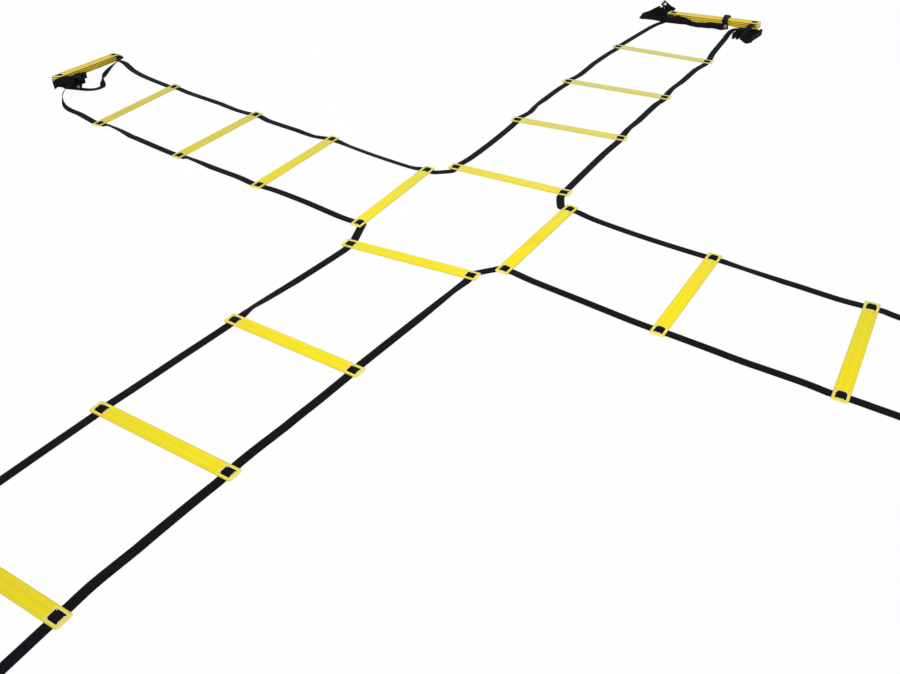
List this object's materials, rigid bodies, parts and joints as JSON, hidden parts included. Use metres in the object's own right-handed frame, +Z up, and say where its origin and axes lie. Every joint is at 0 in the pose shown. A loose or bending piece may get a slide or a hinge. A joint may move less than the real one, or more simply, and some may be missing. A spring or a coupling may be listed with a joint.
{
  "type": "agility ladder",
  "caption": "Cross-shaped agility ladder of flat plastic slats threaded on woven straps, laid out with the slats at each arm's end gathered in a stack.",
  "frame": {"origin": "on the ground under the middle of the laid-out ladder's box", "axes": "+Z up, +X out along the right arm, +Y out along the back arm"},
  "size_m": [4.033, 4.1191, 0.0908],
  "materials": {
    "slat_plastic": "satin",
    "strap_webbing": "woven",
    "stud_metal": "plated"
  },
  "bodies": {
    "centre": {"corner_strap_ac": "strap_webbing", "corner_strap_ba": "strap_webbing", "corner_strap_cd": "strap_webbing", "corner_strap_db": "strap_webbing"},
    "arm_a_middle": {"middle_strap_a_left": "strap_webbing", "middle_strap_a_right": "strap_webbing"},
    "arm_a_end": {"end_strap_a_left": "strap_webbing", "end_strap_a_right": "strap_webbing", "stacked_slat_a5": "slat_plastic", "stacked_slat_a6": "slat_plastic", "stacked_slat_a7": "slat_plastic", "stacked_slat_a8": "slat_plastic", "press_stud_a_left": "stud_metal", "press_stud_a_right": "stud_metal"},
    "slat_a1": {"slat_a1": "slat_plastic"},
    "slat_a2": {"slat_a2": "slat_plastic"},
    "slat_a3": {"slat_a3": "slat_plastic"},
    "slat_a4": {"slat_a4": "slat_plastic"},
    "arm_b_middle": {"middle_strap_b_left": "strap_webbing", "middle_strap_b_right": "strap_webbing"},
    "arm_b_end": {"end_strap_b_left": "strap_webbing", "end_strap_b_right": "strap_webbing", "stacked_slat_b5": "slat_plastic", "stacked_slat_b6": "slat_plastic", "stacked_slat_b7": "slat_plastic", "stacked_slat_b8": "slat_plastic", "press_stud_b_left": "stud_metal", "press_stud_b_right": "stud_metal"},
    "slat_b1": {"slat_b1": "slat_plastic"},
    "slat_b2": {"slat_b2": "slat_plastic"},
    "slat_b3": {"slat_b3": "slat_plastic"},
    "slat_b4": {"slat_b4": "slat_plastic"},
    "arm_c_middle": {"middle_strap_c_left": "strap_webbing", "middle_strap_c_right": "strap_webbing"},
    "arm_c_end": {"end_strap_c_left": "strap_webbing", "end_strap_c_right": "strap_webbing", "stacked_slat_c5": "slat_plastic", "stacked_slat_c6": "slat_plastic", "stacked_slat_c7": "slat_plastic", "stacked_slat_c8": "slat_plastic", "press_stud_c_left": "stud_metal", "press_stud_c_right": "stud_metal"},
    "slat_c1": {"slat_c1": "slat_plastic"},
    "slat_c2": {"slat_c2": "slat_plastic"},
    "slat_c3": {"slat_c3": "slat_plastic"},
    "slat_c4": {"slat_c4": "slat_plastic"},
    "arm_d_middle": {"middle_strap_d_left": "strap_webbing", "middle_strap_d_right": "strap_webbing"},
    "arm_d_end": {"end_strap_d_left": "strap_webbing", "end_strap_d_right": "strap_webbing", "stacked_slat_d5": "slat_plastic", "stacked_slat_d6": "slat_plastic", "stacked_slat_d7": "slat_plastic", "stacked_slat_d8": "slat_plastic", "press_stud_d_left": "stud_metal", "press_stud_d_right": "stud_metal"},
    "slat_d1": {"slat_d1": "slat_plastic"},
    "slat_d2": {"slat_d2": "slat_plastic"},
    "slat_d3": {"slat_d3": "slat_plastic"},
    "slat_d4": {"slat_d4": "slat_plastic"}
  },
  "joints": [
    {"name": "slat_a1_slide", "type": "slide", "parent": "centre", "child": "slat_a1", "axis": [-0.9988, -0.0488, 0], "range_m": [-0.02, 0.1], "deforming": ["corner_strap_ac", "corner_strap_ba"]},
    {"name": "slat_a2_slide", "type": "slide", "parent": "centre", "child": "slat_a2", "axis": [-0.9995, -0.0314, 0], "range_m": [-0.1, 0.1], "deforming": ["corner_strap_ac", "corner_strap_ba"]},
    {"name": "slat_a3_slide", "type": "slide", "parent": "arm_a_middle", "child": "slat_a3", "axis": [-0.9998, -0.0192, 0], "range_m": [-0.1, 0.1], "deforming": ["middle_strap_a_left", "middle_strap_a_right"]},
    {"name": "slat_a4_slide", "type": "slide", "parent": "arm_a_end", "child": "slat_a4", "axis": [-0.9979, -0.0645, 0], "range_m": [-0.1, 0.1], "deforming": ["end_strap_a_left", "end_strap_a_right"]},
    {"name": "arm_a_fold_up", "type": "hinge", "parent": "centre", "child": "arm_a_middle", "pos_m": [-0.883, 0.0222, 0.008], "axis": [0.0476, 0.9989, 0], "range_deg": [0, 176]},
    {"name": "arm_a_fold_back", "type": "hinge", "parent": "arm_a_middle", "child": "arm_a_end", "pos_m": [-1.301, 0.0482, -0.001], "axis": [0.0476, 0.9989, 0], "range_deg": [-176, 0]},
    {"name": "slat_b1_slide", "type": "slide", "parent": "centre", "child": "slat_b1", "axis": [-0.0715, 0.9974, 0], "range_m": [-0.02, 0.1], "deforming": ["corner_strap_ba", "corner_strap_db"]},
    {"name": "slat_b2_slide", "type": "slide", "parent": "centre", "child": "slat_b2", "axis": [-0.1236, 0.9923, 0], "range_m": [-0.1, 0.1], "deforming": ["corner_strap_ba", "corner_strap_db"]},
    {"name": "slat_b3_slide", "type": "slide", "parent": "arm_b_middle", "child": "slat_b3", "axis": [-0.1028, 0.9947, 0], "range_m": [-0.1, 0.1], "deforming": ["middle_strap_b_left", "middle_strap_b_right"]},
    {"name": "slat_b4_slide", "type": "slide", "parent": "arm_b_end", "child": "slat_b4", "axis": [-0.0488, 0.9988, 0], "range_m": [-0.1, 0.1], "deforming": ["end_strap_b_left", "end_strap_b_right"]},
    {"name": "arm_b_fold_up", "type": "hinge", "parent": "centre", "child": "arm_b_middle", "pos_m": [-0.0405, 0.8972, 0.008], "axis": [0.9999, 0.0172, 0], "range_deg": [0, 176]},
    {"name": "arm_b_fold_back", "type": "hinge", "parent": "arm_b_middle", "child": "arm_b_end", "pos_m": [-0.0405, 1.3167, -0.001], "axis": [0.9999, 0.0172, 0], "range_deg": [-176, 0]},
    {"name": "slat_c1_slide", "type": "slide", "parent": "centre", "child": "slat_c1", "axis": [0.1097, -0.994, 0], "range_m": [-0.02, 0.1], "deforming": ["corner_strap_cd", "corner_strap_ac"]},
    {"name": "slat_c2_slide", "type": "slide", "parent": "centre", "child": "slat_c2", "axis": [0.0052, -1, 0], "range_m": [-0.1, 0.1], "deforming": ["corner_strap_cd", "corner_strap_ac"]},
    {"name": "slat_c3_slide", "type": "slide", "parent": "arm_c_middle", "child": "slat_c3", "axis": [0.0279, -0.9996, 0], "range_m": [-0.1, 0.1], "deforming": ["middle_strap_c_left", "middle_strap_c_right"]},
    {"name": "slat_c4_slide", "type": "slide", "parent": "arm_c_end", "child": "slat_c4", "axis": [0.0349, -0.9994, 0], "range_m": [-0.1, 0.1], "deforming": ["end_strap_c_left", "end_strap_c_right"]},
    {"name": "arm_c_fold_up", "type": "hinge", "parent": "centre", "child": "arm_c_middle", "pos_m": [-0.0565, -0.9443, 0.008], "axis": [-0.9991, 0.0426, 0], "range_deg": [0, 176]},
    {"name": "arm_c_fold_back", "type": "hinge", "parent": "arm_c_middle", "child": "arm_c_end", "pos_m": [-0.069, -1.3513, -0.001], "axis": [-0.9991, 0.0426, 0], "range_deg": [-176, 0]},
    {"name": "slat_d1_slide", "type": "slide", "parent": "centre", "child": "slat_d1", "axis": [1, -0.0035, 0], "range_m": [-0.02, 0.1], "deforming": ["corner_strap_db", "corner_strap_cd"]},
    {"name": "slat_d2_slide", "type": "slide", "parent": "centre", "child": "slat_d2", "axis": [1, 0.007, 0], "range_m": [-0.1, 0.1], "deforming": ["corner_strap_db", "corner_strap_cd"]},
    {"name": "slat_d3_slide", "type": "slide", "parent": "arm_d_middle", "child": "slat_d3", "axis": [0.9984, 0.0558, 0], "range_m": [-0.1, 0.1], "deforming": ["middle_strap_d_left", "middle_strap_d_right"]},
    {"name": "slat_d4_slide", "type": "slide", "parent": "arm_d_end", "child": "slat_d4", "axis": [0.9994, 0.0349, 0], "range_m": [-0.1, 0.1], "deforming": ["end_strap_d_left", "end_strap_d_right"]},
    {"name": "arm_d_fold_up", "type": "hinge", "parent": "centre", "child": "arm_d_middle", "pos_m": [0.8975, -0.0443, 0.008], "axis": [-0.0353, -0.9994, 0], "range_deg": [0, 176]},
    {"name": "arm_d_fold_back", "type": "hinge", "parent": "arm_d_middle", "child": "arm_d_end", "pos_m": [1.3225, -0.0553, -0.001], "axis": [-0.0353, -0.9994, 0], "range_deg": [-176, 0]}
  ],
  "couplings": [
    {"joint": "arm_a_fold_back", "follows": "arm_a_fold_up", "ratio": -1},
    {"joint": "arm_b_fold_back", "follows": "arm_b_fold_up", "ratio": -1},
    {"joint": "arm_c_fold_back", "follows": "arm_c_fold_up", "ratio": -1},
    {"joint": "arm_d_fold_back", "follows": "arm_d_fold_up", "ratio": -1}
  ]
}
